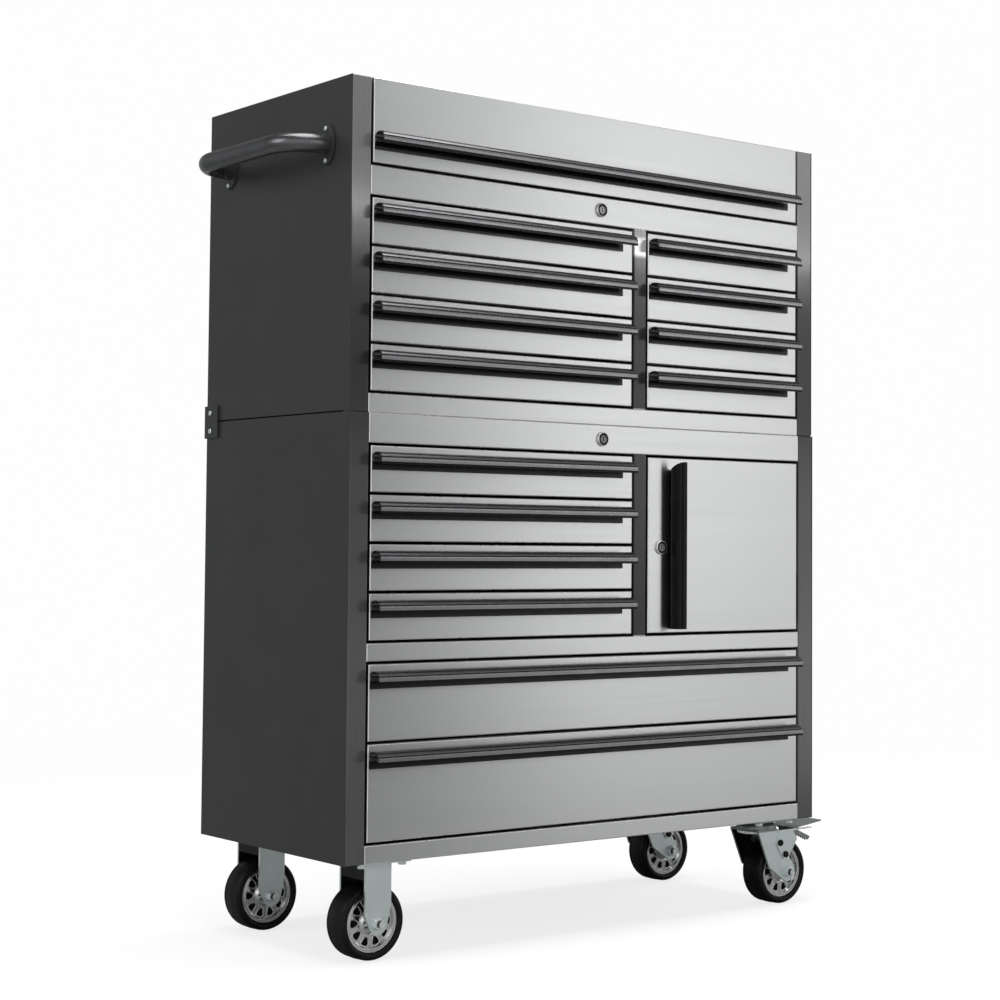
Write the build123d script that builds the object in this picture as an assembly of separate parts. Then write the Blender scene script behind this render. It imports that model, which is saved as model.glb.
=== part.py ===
from build123d import *
import math
import os

# Rolling tool chest: an upper chest with a flip-up lid on a lower roller cabinet, on four casters.
# Working axes, in millimetres: X to the right from the left side, Y back from the lower front face,
# Z up from the floor. Everything is moved to the row frame (centre of the bounding box) when saved.

# ---- cabinet
CHEST_W = 1067.0
CHEST_D = 457.0
CASTER_H = 165.0          # floor to the underside of the lower cabinet
SHEET = 1.2               # sheet steel of shells and trays
FRONT_SHEET = 1.5         # stainless sheet of fronts, posts and rails
FRONT_DEPTH = 18.0        # depth of a folded front
EDGE_R = 1.8              # rounded folds along the edges of the fronts
GAP = 4.5                 # shadow gap between fronts
POST_W = 38.5             # corner posts
UPPER_SETBACK = 3.0       # the upper chest's front stands behind the lower one's
SEAM = 2.5                # open line between the side panels of the two chests
SEAM_INSET = 6.0          # the upper floor stops short of the side panels

# ---- heights of the front, bottom to top
BOTTOM_RAIL_H = 29.5
DEEP_FRONT_H = 157.0
WIDE_FRONT_H = 124.0
MID_RAIL_H = 29.5
SMALL_FRONT_H = 75.5
SMALL_COUNT = 4
LOCK_RAIL_H = 49.0
UPPER_RAIL_H = 32.0
UPPER_LOCK_RAIL_H = 48.5
LID_FRONT_H = 140.0

# ---- columns
UPPER_POST_X = (611.0, 640.0)     # centre post of the upper chest
LOWER_POST_X = (611.0, 640.0)     # centre post of the lower cabinet

# ---- trays and slides
TRAY_DEPTH = 412.0
TRAY_FLOOR_LIFT = 5.0     # tray floor above the lower edge of its front
TRAY_TOP_DROP = 12.0      # tray walls below the upper edge of the front
SLIDE_SPACE = 12.7        # room for a ball-bearing slide at each side
SLIDE_H = 35.0
SLIDE_LENGTH = 400.0
SLIDE_LIFT = 27.0         # slide centre above the lower edge of the front
DRAWER_TRAVEL = 300.0

# ---- extruded handles
HANDLE_REACH = 28.0
HANDLE_H = 29.0
HANDLE_LIP = 20.0         # the front lip stops higher than the back leg
HANDLE_WALL = 2.8
HANDLE_DROP = 10.5        # below the upper edge of its front
HANDLE_INSET = 2.5        # first end, from the edge of its front
HANDLE_OUTSET = 11.0      # second end, from the other edge
HANDLE_SLANT = 15.0       # the second end is cut back by this much at the front it stands on
LID_HANDLE_TOP = 50.0     # above the lower edge of the lid front
DOOR_HANDLE_X = 694.0
DOOR_HANDLE_Z = (365.0, 666.0)    # above the underside of the cabinet

# ---- locks
LOCK_R = 12.5
LOCK_NECK_R = 9.5
LOCK_BORE_R = 7.05
LOCK_PLUG_R = 7.0
LOCK_REACH = 4.5
UPPER_LOCK = (532.0, 1109.0)      # x, height above the underside of the cabinet
LOWER_LOCK = (535.0, 702.0)
DOOR_LOCK = (675.0, 512.0)

# ---- lid
LID_BACK_Y = 438.0
LID_HINGE_Y = 444.0
LID_HINGE_DROP = 4.5      # hinge pin below the top
LID_OPEN_DEG = 75.0
STRUT_FOOT = (430.0, 1110.0)      # y, height above the underside of the cabinet
STRUT_HEAD = (340.0, 1258.0)
STRUT_INSET = 13.5        # from the inner wall to the strut's centre line
STRUT_R = 8.0
STRUT_TUBE_LENGTH = 125.0
STRUT_ROD_R = 4.0
STRUT_STUD = 3.5          # studs of the lid, which stop beside the rods
STRUT_ROD_START = 32.0    # inner end of the rod from the foot, lid closed

# ---- door, hung on slim hinges inside its gap
DOOR_PIN_R = 1.0
DOOR_KNUCKLE_R = 1.9
DOOR_KNUCKLE_H = 44.0
DOOR_PIN_Y = 1.2          # hinge axis behind the face
DOOR_LEAF = 1.2           # from the hinge axis to each leaf
DOOR_LEAF_Y = 14.0        # depth that the leaves reach

# ---- push handle on the left side
PUSH_HEIGHT = 1170.0      # above the underside of the cabinet
PUSH_Y = (75.0, 389.0)
PUSH_REACH = 71.0
PUSH_R = 16.0
PUSH_WALL = 1.6
PUSH_BEND_R = 62.0
FLANGE_W = 50.0
FLANGE_H = 67.0
FLANGE_T = 3.0
FLANGE_SCREW = 26.5       # screw above and below the tube

# ---- joining brackets at the rear corners
BRACKET_T = 4.0
BRACKET_H = 57.0
BRACKET_REACH = 46.0

# ---- casters
WHEEL_R = 62.5
TYRE_HALF = 25.0
RIM_R = 49.0
RIM_HALF = 19.5
SEAT_R = 46.0
WINDOW_COUNT = 10
BARREL_HALF = 31.0
AXLE_R = 6.0
AXLE_FIT = 0.05
BOLT_END = 12.5           # the axle bolt beyond the fork, through its nut
CASTER_Y = (64.5, CHEST_D - 64.5)
RIGID_X = 85.0
SWIVEL_X = CHEST_W - 85.0
TRAIL = 47.0              # wheel centre behind the swivel axis
PLATE_X = 102.0
PLATE_Y = 114.0
PLATE_T = 3.0
FORK_HALF = 38.0
FORK_T = 4.0
LEG_W = 51.0
LOBE_R = 18.0
RACE_R = 37.0             # lower race of a swivel caster
CROWN_DROP = 19.5         # crown plate of the swivel fork below the cabinet
PEDAL_PIVOT = (24.0, -46.0)       # from the swivel axis, below the cabinet
PEDAL_TIP = 145.0                 # reach of the pedal from the swivel axis
RUN_GAP = 0.4             # clearance between parts that pass each other

UNDER = CASTER_H
LOWER_BACK = CHEST_D - SHEET
INNER_LEFT = POST_W
INNER_RIGHT = CHEST_W - POST_W

# Row frame: centre of the bounding box, on the floor.
LEFT_REACH = -PUSH_REACH - PUSH_R
RIGHT_REACH = SWIVEL_X + PEDAL_TIP
SCREW_HEAD = 2.5
REAR_REACH = CHEST_D + BRACKET_T + SCREW_HEAD
ORIGIN = Pos(-(LEFT_REACH + RIGHT_REACH) / 2, -(REAR_REACH - HANDLE_REACH) / 2, 0)


# ------------------------------------------------------------------ helpers
def block(x0, x1, y0, y1, z0, z1):
    """A box between two corners."""
    return Pos((x0 + x1) / 2, (y0 + y1) / 2, (z0 + z1) / 2) * Box(x1 - x0, y1 - y0, z1 - z0)


def rod(start, direction, length, radius):
    """A cylinder from a point along a direction."""
    base = Plane(origin=start, z_dir=direction)
    return extrude(base * Circle(radius), length)


def plate_xz(face, y0, y1):
    """A plate with an X-Z outline, between two depths."""
    standing = Plane(origin=(0, y1, 0), x_dir=(1, 0, 0), z_dir=(0, -1, 0)) * face
    return extrude(standing, y1 - y0, dir=(0, -1, 0))


def pan(x0, x1, z0, z1, y0, depth=FRONT_DEPTH):
    """A folded front: a face with rounded edges and four returned sides, open at the back."""
    outer = block(x0, x1, y0, y0 + depth, z0, z1)
    outer = fillet(outer.faces().sort_by(Axis.Y)[0].edges(), EDGE_R)
    t = FRONT_SHEET
    return outer - block(x0 + t, x1 - t, y0 + t, y0 + depth + t, z0 + t, z1 - t)


def hex_prism(centre, direction, across_flats, height):
    """A hexagonal bolt head or nut with a chamfered outer end."""
    base = Plane(origin=centre, z_dir=direction)
    corner = across_flats / math.sqrt(3)
    prism = extrude(base * RegularPolygon(corner, 6), height)
    cone = extrude(base * Circle(corner), height)
    cone = chamfer(cone.edges().filter_by(GeomType.CIRCLE).sort_by_distance(base.origin)[-1], corner * 0.12)
    return prism & cone


def screw_head(centre, direction, radius=4.5):
    """A domed screw head with a cross recess."""
    base = Plane(origin=centre, z_dir=direction)
    head = extrude(base * Circle(radius), SCREW_HEAD)
    head = fillet(head.faces().sort_by_distance(base.origin)[-1].edges(), 1.2)
    cross = extrude(base.offset(SCREW_HEAD - 1.0) * (Rectangle(1.1, 4.6) + Rectangle(4.6, 1.1)), 2)
    return head - cross


def save(name, shapes):
    """Moves a node's solids to the row frame and writes them."""
    solids = [s for shape in shapes for s in (ORIGIN * shape).solids()]
    export_step(Compound(label=name, children=solids), f"parts/{name}.step")


# ------------------------------------------------------------------ drawers and handles
def handle_bar(length):
    """The hooked extrusion, along local Z from its slanted end: local X is the reach, local Y is up."""
    r, w, lip = HANDLE_REACH, HANDLE_WALL, HANDLE_LIP
    outline = [
        Line((0, -HANDLE_H), (0, -9)),
        ThreePointArc((0, -9), (3.4, -2.6), (11, 0)),
        Line((11, 0), (15, 0)),
        ThreePointArc((15, 0), (24.4, -3.8), (r, -12)),
        Line((r, -12), (r, -lip)),
        Line((r, -lip), (r - w, -lip)),
        Line((r - w, -lip), (r - w, -12)),
        ThreePointArc((r - w, -12), (22.2, -5.8), (15, -w)),
        Line((15, -w), (11, -w)),
        ThreePointArc((11, -w), (5.4, -4.7), (w, -9)),
        Line((w, -9), (w, -HANDLE_H)),
        Line((w, -HANDLE_H), (0, -HANDLE_H)),
    ]
    bar = extrude(make_face(outline), length)
    for reach, drop in ((23.6, -3.1), (27.3, -8.6)):
        bar -= Pos(reach, drop, 0) * extrude(Circle(0.8), length)
    ends = Polygon((0, HANDLE_SLANT), (r, 0), (r, length), (0, length), align=None)
    side = Plane(origin=(0, 5, 0), x_dir=(1, 0, 0), z_dir=(0, -1, 0))
    return bar & extrude(side * ends, HANDLE_H + 10)


def front_handle(x0, x1, y, top):
    """A handle along a front, between two ends."""
    return Plane(origin=(x1, y, top), x_dir=(0, -1, 0), z_dir=(-1, 0, 0)).location * handle_bar(x1 - x0)


def slide_member(wall_x, inward, z, moving):
    """One channel of a ball-bearing slide. inward is +1 when the drawer lies towards +X of the wall."""
    if moving:
        web, lips, half = (11.3, 12.5), (4.5, 11.3), SLIDE_H / 2 - 3.2
    else:
        web, lips, half = (0.0, 1.2), (1.2, 9.5), SLIDE_H / 2
    y0 = FRONT_DEPTH + 6
    y1 = y0 + SLIDE_LENGTH

    def bar(a, b, z0, z1):
        ends = sorted((wall_x + inward * a, wall_x + inward * b))
        return block(ends[0], ends[1], y0, y1, z0, z1)

    channel = bar(web[0], web[1], z - half, z + half)
    channel += bar(lips[0], lips[1], z - half, z - half + 1.2)
    channel += bar(lips[0], lips[1], z + half - 1.2, z + half)
    return channel


def drawer_box(left, right, z0, z1, y):
    """A tray of spot-welded sheets behind a folded stainless front, with its two slide members."""
    x0, x1 = left + SLIDE_SPACE, right - SLIDE_SPACE
    low, high = z0 + TRAY_FLOOR_LIFT, z1 - TRAY_TOP_DROP
    near, far = y + FRONT_DEPTH, y + FRONT_DEPTH + TRAY_DEPTH
    front = pan(left + GAP, right - GAP, z0, z1, y)
    floor = block(x0, x1, near, far, low, low + SHEET)
    walls = [
        block(x0, x0 + SHEET, near, far, low + SHEET, high),
        block(x1 - SHEET, x1, near, far, low + SHEET, high),
        block(x0 + SHEET, x1 - SHEET, near, near + SHEET, low + SHEET, high),
        block(x0 + SHEET, x1 - SHEET, far - SHEET, far, low + SHEET, high),
    ]
    mid = z0 + SLIDE_LIFT
    slides = [slide_member(left, 1, mid, True), slide_member(right, -1, mid, True)]
    return [front, floor] + walls + slides


def drawer_rows():
    """Every drawer: name, left and right edge of its opening, lower and upper edge, front plane."""
    rows = []
    z = UNDER + BOTTOM_RAIL_H + GAP
    rows.append(("wide_drawer_2", INNER_LEFT, INNER_RIGHT, z, z + DEEP_FRONT_H, 0.0))
    z += DEEP_FRONT_H + GAP
    rows.append(("wide_drawer_1", INNER_LEFT, INNER_RIGHT, z, z + WIDE_FRONT_H, 0.0))
    pitch = SMALL_FRONT_H + GAP
    for n in range(SMALL_COUNT):
        number = SMALL_COUNT - n
        low = SMALL_BASE + n * pitch
        rows.append((f"lower_left_drawer_{number}", INNER_LEFT, LOWER_POST_X[0], low, low + SMALL_FRONT_H, 0.0))
        low = UPPER_BASE + n * pitch
        high = low + SMALL_FRONT_H
        rows.append((f"upper_left_drawer_{number}", INNER_LEFT, UPPER_POST_X[0], low, high, UPPER_SETBACK))
        rows.append((f"upper_right_drawer_{number}", UPPER_POST_X[1], INNER_RIGHT, low, high, UPPER_SETBACK))
    return rows


SMALL_STACK = SMALL_COUNT * (SMALL_FRONT_H + GAP)
MID_RAIL_TOP = UNDER + BOTTOM_RAIL_H + DEEP_FRONT_H + WIDE_FRONT_H + MID_RAIL_H + 3 * GAP
SMALL_BASE = MID_RAIL_TOP + GAP
LOWER_TOP = SMALL_BASE + SMALL_STACK + LOCK_RAIL_H
UPPER_BASE = LOWER_TOP + UPPER_RAIL_H + GAP
UPPER_LOCK_BASE = UPPER_BASE + SMALL_STACK
LID_BASE = UPPER_LOCK_BASE + UPPER_LOCK_RAIL_H + GAP
TOP = LID_BASE + LID_FRONT_H
DRAWERS = drawer_rows()


# ------------------------------------------------------------------ shells and front frames
def double_sides(z0, z1, y0, seam=0.0):
    """Outer side panels, which start above a seam, and the inner walls that carry the slides."""
    panels = []
    for outer, inner in ((0.0, INNER_LEFT - SHEET), (CHEST_W - SHEET, INNER_RIGHT)):
        panels.append(block(outer, outer + SHEET, y0, CHEST_D, z0 + seam, z1))
        panels.append(block(inner, inner + SHEET, y0 + FRONT_DEPTH, LOWER_BACK, z0 + SHEET, z1 - SHEET))
    return panels


def partition(post_x, z0, z1, y0):
    """The two walls behind a centre post."""
    walls = []
    for x in (post_x[0], post_x[1] - SHEET):
        walls.append(block(x, x + SHEET, y0 + FRONT_DEPTH, LOWER_BACK, z0, z1))
    return walls


def lower_shell():
    shelf = MID_RAIL_TOP - SHEET
    near = FRONT_DEPTH
    return double_sides(UNDER, LOWER_TOP, 0.0) + partition(LOWER_POST_X, MID_RAIL_TOP, LOWER_TOP - SHEET, 0.0) + [
        block(SHEET, CHEST_W - SHEET, LOWER_BACK, CHEST_D, UNDER, LOWER_TOP),
        block(SHEET, CHEST_W - SHEET, near, LOWER_BACK, UNDER, UNDER + SHEET),
        block(SHEET, CHEST_W - SHEET, near, LOWER_BACK, LOWER_TOP - SHEET, LOWER_TOP),
        block(INNER_LEFT, INNER_RIGHT, near, LOWER_BACK, shelf, MID_RAIL_TOP),
    ]


def upper_shell():
    y0 = UPPER_SETBACK
    near = y0 + FRONT_DEPTH
    tray_floor = UPPER_LOCK_BASE
    strip_y = LID_HINGE_Y + 5
    sides = double_sides(LOWER_TOP, TOP, y0, SEAM)
    return sides + partition(UPPER_POST_X, LOWER_TOP + SHEET, tray_floor, y0) + [
        block(SHEET, CHEST_W - SHEET, LOWER_BACK, CHEST_D, LOWER_TOP + SEAM, TOP - SHEET),
        block(SEAM_INSET, CHEST_W - SEAM_INSET, near, LOWER_BACK, LOWER_TOP, LOWER_TOP + SHEET),
        block(INNER_LEFT, INNER_RIGHT, near, LOWER_BACK, tray_floor, tray_floor + SHEET),
        block(SHEET, INNER_LEFT, near, CHEST_D, TOP - SHEET, TOP),
        block(INNER_RIGHT, CHEST_W - SHEET, near, CHEST_D, TOP - SHEET, TOP),
        block(INNER_LEFT, INNER_RIGHT, strip_y, CHEST_D, TOP - SHEET, TOP),
    ]


def lock_hole(x, height):
    """The hole that a lock's neck passes through."""
    return rod((x, -5, UNDER + height), (0, 1, 0), 10 + UPPER_SETBACK, LOCK_NECK_R + 0.1)


def front_frame():
    """Posts and rails of both chests, folded from stainless sheet."""
    pieces = []
    for z0, z1, y0 in ((UNDER, LOWER_TOP, 0.0), (LOWER_TOP, TOP, UPPER_SETBACK)):
        pieces.append(pan(SHEET, INNER_LEFT, z0, z1, y0))
        pieces.append(pan(INNER_RIGHT, CHEST_W - SHEET, z0, z1, y0))
    lower_lock_base = LOWER_TOP - LOCK_RAIL_H
    rails = (
        (UNDER, BOTTOM_RAIL_H, 0.0),
        (MID_RAIL_TOP - MID_RAIL_H, MID_RAIL_H, 0.0),
        (lower_lock_base, LOCK_RAIL_H, 0.0),
        (LOWER_TOP, UPPER_RAIL_H, UPPER_SETBACK),
        (UPPER_LOCK_BASE, UPPER_LOCK_RAIL_H, UPPER_SETBACK),
    )
    for z0, height, y0 in rails:
        rail = pan(INNER_LEFT, INNER_RIGHT, z0, z0 + height, y0)
        for lock in (UPPER_LOCK, LOWER_LOCK):
            if z0 < UNDER + lock[1] < z0 + height:
                rail -= lock_hole(*lock)
        pieces.append(rail)
    pieces.append(pan(LOWER_POST_X[0], LOWER_POST_X[1], MID_RAIL_TOP, lower_lock_base, 0.0))
    upper_rail_top = LOWER_TOP + UPPER_RAIL_H
    pieces.append(pan(UPPER_POST_X[0], UPPER_POST_X[1], upper_rail_top, UPPER_LOCK_BASE, UPPER_SETBACK))
    return pieces


def slide_channels():
    """The cabinet-side member of every slide."""
    members = []
    for _, left, right, z0, _, _ in DRAWERS:
        for wall_x, inward in ((left, 1), (right, -1)):
            members.append(slide_member(wall_x, inward, z0 + SLIDE_LIFT, False))
    return members


# ------------------------------------------------------------------ lid, door, locks
def lid_hinge_z():
    return TOP - LID_HINGE_DROP


def lid_shell():
    """Boxed front flap, top sheet, stiffened edges, the moving hinge leaf and two strut studs."""
    x0, x1 = INNER_LEFT + GAP, INNER_RIGHT - GAP
    y0 = UPPER_SETBACK
    near = y0 + FRONT_DEPTH
    pieces = [pan(x0, x1, LID_BASE, TOP, y0), block(x0, x1, near, LID_BACK_Y, TOP - SHEET, TOP)]
    inside_top = TOP - SHEET
    pieces.append(block(x0 + SHEET, x1 - SHEET, near, near + SHEET, LID_BASE, inside_top))
    pieces.append(block(x0 + SHEET, x1 - SHEET, LID_BACK_Y - SHEET, LID_BACK_Y, inside_top - 20, inside_top))
    for edge in (x0, x1 - SHEET):
        pieces.append(block(edge, edge + SHEET, near, LID_BACK_Y, inside_top - 30, inside_top))
    pin_z = lid_hinge_z()
    for k in range(5):
        start = x0 + 12 + k * 196
        knuckle = rod((start, LID_HINGE_Y, pin_z), (1, 0, 0), 90, 3.4)
        knuckle -= rod((start - 1, LID_HINGE_Y, pin_z), (1, 0, 0), 92, 1.6)
        leaf = block(start, start + 90, LID_BACK_Y, LID_HINGE_Y - 2.6, pin_z - 0.8, pin_z + 0.8)
        pieces.append(knuckle + leaf)
    stud_z = UNDER + STRUT_HEAD[1]
    for edge, side in ((x0 + SHEET, 1), (x1 - SHEET, -1)):
        pieces.append(rod((edge, STRUT_HEAD[0], stud_z), (side, 0, 0), STRUT_STUD, 4))
    return pieces


def hinge_leaves():
    """Fixed halves of the lid hinge and the door hinges, with their pins."""
    x0, x1 = INNER_LEFT + GAP, INNER_RIGHT - GAP
    pin_z = lid_hinge_z()
    pieces = [rod((x0 + 2, LID_HINGE_Y, pin_z), (1, 0, 0), x1 - x0 - 4, 1.5)]
    for k in range(5):
        start = x0 + 12 + 90 + 1 + k * 196
        length = min(104, x1 - start - 2)
        knuckle = rod((start, LID_HINGE_Y, pin_z), (1, 0, 0), length, 3.4)
        knuckle -= rod((start - 1, LID_HINGE_Y, pin_z), (1, 0, 0), length + 2, 1.5)
        leaf = block(start, start + length, LID_HINGE_Y + 2.6, LID_HINGE_Y + 5, pin_z - 0.8, pin_z + 0.8)
        angle = block(start, start + length, LID_HINGE_Y + 5, LID_HINGE_Y + 6.2, pin_z - 12, TOP - SHEET)
        pieces.append(knuckle + leaf + angle)
    x, y = door_hinge_axis()
    for z in door_hinge_heights():
        base = z - DOOR_KNUCKLE_H
        pieces.append(rod((x, y, base), (0, 0, 1), 2 * DOOR_KNUCKLE_H, DOOR_PIN_R))
        lower = rod((x, y, base), (0, 0, 1), DOOR_KNUCKLE_H - 0.5, DOOR_KNUCKLE_R)
        lower += block(x + DOOR_LEAF, INNER_RIGHT, y, DOOR_LEAF_Y, base, z - 0.5)
        pieces.append(lower - rod((x, y, base - 1), (0, 0, 1), DOOR_KNUCKLE_H + 2, DOOR_PIN_R))
    return pieces


def door_hinge_axis():
    """Where the door's hinge axis stands, in the middle of the gap at its right."""
    return INNER_RIGHT - GAP / 2, DOOR_PIN_Y


def door_hinge_heights():
    """Middle of the upper and the lower door hinge."""
    return SMALL_BASE + 60, SMALL_BASE + SMALL_STACK - GAP - 60


def door_panel():
    """Folded door with an inner liner, its hinge halves and its lock housing."""
    x0, x1 = LOWER_POST_X[1] + GAP, INNER_RIGHT - GAP
    z0, z1 = SMALL_BASE, SMALL_BASE + SMALL_STACK - GAP
    face = pan(x0, x1, z0, z1, 0.0) - lock_hole(*DOOR_LOCK)
    liner = block(x0 + 3, x1 - 3, FRONT_DEPTH, FRONT_DEPTH + SHEET, z0 + 3, z1 - 3)
    liner -= rod((DOOR_LOCK[0], FRONT_DEPTH - 5, UNDER + DOOR_LOCK[1]), (0, 1, 0), 20, LOCK_NECK_R + 0.1)
    pieces = [face, liner, lock_housing(*DOOR_LOCK, 0.0)]
    x, y = door_hinge_axis()
    bore = DOOR_PIN_R + AXLE_FIT
    for z in door_hinge_heights():
        upper = rod((x, y, z + 0.5), (0, 0, 1), DOOR_KNUCKLE_H - 0.5, DOOR_KNUCKLE_R)
        upper += block(x1, x - DOOR_LEAF, y, DOOR_LEAF_Y, z + 0.5, z + DOOR_KNUCKLE_H)
        pieces.append(upper - rod((x, y, z - 2), (0, 0, 1), DOOR_KNUCKLE_H + 4, bore))
    return pieces


def lock_housing(x, height, y):
    """Flanged barrel of a cylinder lock."""
    z = UNDER + height
    flange = rod((x, y, z), (0, -1, 0), LOCK_REACH, LOCK_R)
    flange = fillet(flange.faces().sort_by(Axis.Y)[0].edges(), 2)
    neck = rod((x, y, z), (0, 1, 0), FRONT_DEPTH + 4, LOCK_NECK_R)
    bore = rod((x, y - LOCK_REACH - 1, z), (0, 1, 0), FRONT_DEPTH + LOCK_REACH + 6, LOCK_BORE_R)
    return flange + neck - bore


def lock_plug(x, height, y):
    """Turning plug with a key slot, and the cam on its inner end."""
    z = UNDER + height
    start = y - LOCK_REACH + 1.5
    end = y + FRONT_DEPTH + 5
    plug = rod((x, start, z), (0, 1, 0), end - start, LOCK_PLUG_R)
    slot = block(x - 0.9, x + 0.9, start - 1, start + 5, z - 4.2, z + 4.2)
    cam = block(x - 6, x + 6, end, end + 2, z - 8, z + 20)
    return plug - slot + cam


def strut_direction():
    dy = STRUT_HEAD[0] - STRUT_FOOT[0]
    dz = STRUT_HEAD[1] - STRUT_FOOT[1]
    length = math.hypot(dy, dz)
    return (0, dy / length, dz / length), length


def strut_lines():
    """Foot point of the left and the right strut."""
    foot_z = UNDER + STRUT_FOOT[1]
    return [(x, STRUT_FOOT[0], foot_z) for x in (INNER_LEFT + STRUT_INSET, INNER_RIGHT - STRUT_INSET)]


def along(point, direction, distance):
    return tuple(p + d * distance for p, d in zip(point, direction))


def strut_cylinders():
    direction, _ = strut_direction()
    pieces = []
    for foot in strut_lines():
        tube = rod(along(foot, direction, 9), direction, STRUT_TUBE_LENGTH - 9, STRUT_R)
        bore_length = STRUT_TUBE_LENGTH - STRUT_ROD_START + 4
        tube -= rod(along(foot, direction, STRUT_ROD_START - 3), direction, bore_length, STRUT_ROD_R + RUN_GAP)
        eye = rod((foot[0] - 4, foot[1], foot[2]), (1, 0, 0), 8, 8)
        eye += rod(foot, direction, 12, 4)
        eye -= rod((foot[0] - 5, foot[1], foot[2]), (1, 0, 0), 10, 4.1)
        pieces.append(tube + eye)
    return pieces


def strut_rods():
    direction, length = strut_direction()
    pieces = []
    for foot in strut_lines():
        shaft = rod(along(foot, direction, STRUT_ROD_START), direction, length - STRUT_ROD_START - 6, STRUT_ROD_R)
        head = along(foot, direction, length)
        eye = rod((head[0] - 3.5, head[1], head[2]), (1, 0, 0), 7, 7.5)
        pieces.append(shaft + eye)
    return pieces


# ------------------------------------------------------------------ push handle and brackets
def push_handle():
    """Bent tube between two welded oval flanges."""
    z = UNDER + PUSH_HEIGHT
    near, far = PUSH_Y
    path = FilletPolyline(
        (-FLANGE_T, near, z), (-PUSH_REACH, near, z), (-PUSH_REACH, far, z), (-FLANGE_T, far, z),
        radius=PUSH_BEND_R,
    )
    ring = Circle(PUSH_R) - Circle(PUSH_R - PUSH_WALL)
    tube = sweep(Plane(origin=(-FLANGE_T, near, z), z_dir=(-1, 0, 0)) * ring, path=path)
    pieces = [tube]
    for y in PUSH_Y:
        face = Plane(origin=(0, y, z), x_dir=(0, 1, 0), z_dir=(-1, 0, 0))
        pieces.append(extrude(face * Ellipse(FLANGE_W / 2, FLANGE_H / 2), FLANGE_T))
    return pieces


def joining_brackets():
    """Angle plates that tie the two chests together at the rear corners."""
    z0 = LOWER_TOP - BRACKET_H / 2
    z1 = LOWER_TOP + BRACKET_H / 2
    pieces = []
    for outer, side in ((0.0, -1), (CHEST_W, 1)):
        wall = sorted((outer, outer + side * BRACKET_T))
        back = sorted((outer + side * BRACKET_T, outer - side * (BRACKET_REACH - 6)))
        y1 = CHEST_D + BRACKET_T
        plate = block(wall[0], wall[1], y1 - BRACKET_REACH, y1, z0, z1)
        plate += block(back[0], back[1], CHEST_D, y1, z0, z1)
        corner = plate.edges().filter_by(Axis.Z).sort_by_distance((outer + side * BRACKET_T, y1, LOWER_TOP))[0]
        pieces.append(fillet(corner, 3))
    return pieces


def fasteners():
    """Flange screws, bracket screws, caster bolts and the fixed strut studs."""
    z = UNDER + PUSH_HEIGHT
    heads = []
    for y in PUSH_Y:
        for dz in (-FLANGE_SCREW, FLANGE_SCREW):
            heads.append(screw_head((-FLANGE_T, y, z + dz), (-1, 0, 0), 4.0))
    y_side = CHEST_D + BRACKET_T - BRACKET_REACH / 2
    for outer, side in ((0.0, -1), (CHEST_W, 1)):
        for dz in (-16, 16):
            heads.append(screw_head((outer + side * BRACKET_T, y_side, LOWER_TOP + dz), (side, 0, 0)))
            heads.append(screw_head((outer - side * 20, CHEST_D + BRACKET_T, LOWER_TOP + dz), (0, 1, 0)))
    for x in (RIGID_X, SWIVEL_X):
        for y in CASTER_Y:
            for dx in (-40, 40):
                for dy in (-47, 47):
                    heads.append(hex_prism((x + dx, y + dy, UNDER - PLATE_T), (0, 0, -1), 13, 5.5))
    for foot, side in zip(strut_lines(), (1, -1)):
        wall = foot[0] - side * STRUT_INSET
        heads.append(rod((wall, foot[1], foot[2]), (side, 0, 0), STRUT_INSET + 6, 4))
    return heads


# ------------------------------------------------------------------ casters
def axle(x, y):
    """Bolt, nut and the two spacers of one wheel."""
    z = WHEEL_R
    pieces = [rod((x, y - FORK_HALF - BOLT_END, z), (0, 1, 0), 2 * FORK_HALF + BOLT_END, AXLE_R)]
    nut = hex_prism((x, y - FORK_HALF, z), (0, -1, 0), 17, 8)
    pieces.append(nut - rod((x, y - FORK_HALF - BOLT_END, z), (0, 1, 0), BOLT_END + 1, AXLE_R))
    pieces.append(hex_prism((x, y + FORK_HALF, z), (0, 1, 0), 17, 6))
    for side in (-1, 1):
        start = y + side * (BARREL_HALF + RUN_GAP)
        width = FORK_HALF - FORK_T - BARREL_HALF - RUN_GAP
        spacer = rod((x, start, z), (0, side, 0), width, 9.5)
        pieces.append(spacer - rod((x, start - side, z), (0, side, 0), width + 2, AXLE_R))
    return pieces


def fork_leg(outline, x, wheel_x, y0, y1, foot=LOBE_R):
    """A leg plate from an outline measured from x and the cabinet's underside, with a round foot."""
    shape = Polygon(*[(x + a, UNDER + b) for a, b in outline], align=None)
    lobe = Pos(wheel_x, WHEEL_R) * Circle(foot)
    face = make_hull(shape.edges() + lobe.edges())
    return plate_xz(face, y0, y1) - rod((wheel_x, y0 - 1, WHEEL_R), (0, 1, 0), y1 - y0 + 2, AXLE_R)


def rigid_caster_brackets():
    """Top plate, two legs and two end webs of each fixed caster, with its axle."""
    pieces = []
    x = RIGID_X
    half = LEG_W / 2
    web_h = 31.0
    top = UNDER - PLATE_T
    for y in CASTER_Y:
        pieces.append(block(x - PLATE_X / 2, x + PLATE_X / 2, y - PLATE_Y / 2, y + PLATE_Y / 2, top, UNDER))
        outline = [(-half, -PLATE_T), (half, -PLATE_T), (half, -72), (-half, -88)]
        for side in (-1, 1):
            ends = sorted((y + side * FORK_HALF, y + side * (FORK_HALF - FORK_T)))
            pieces.append(fork_leg(outline, x, x, ends[0], ends[1]))
            edge = sorted((x + side * half, x + side * (half - FORK_T)))
            inner = FORK_HALF - FORK_T
            pieces.append(block(edge[0], edge[1], y - inner, y + inner, UNDER - web_h, top))
        pieces += axle(x, y)
    return pieces


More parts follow.
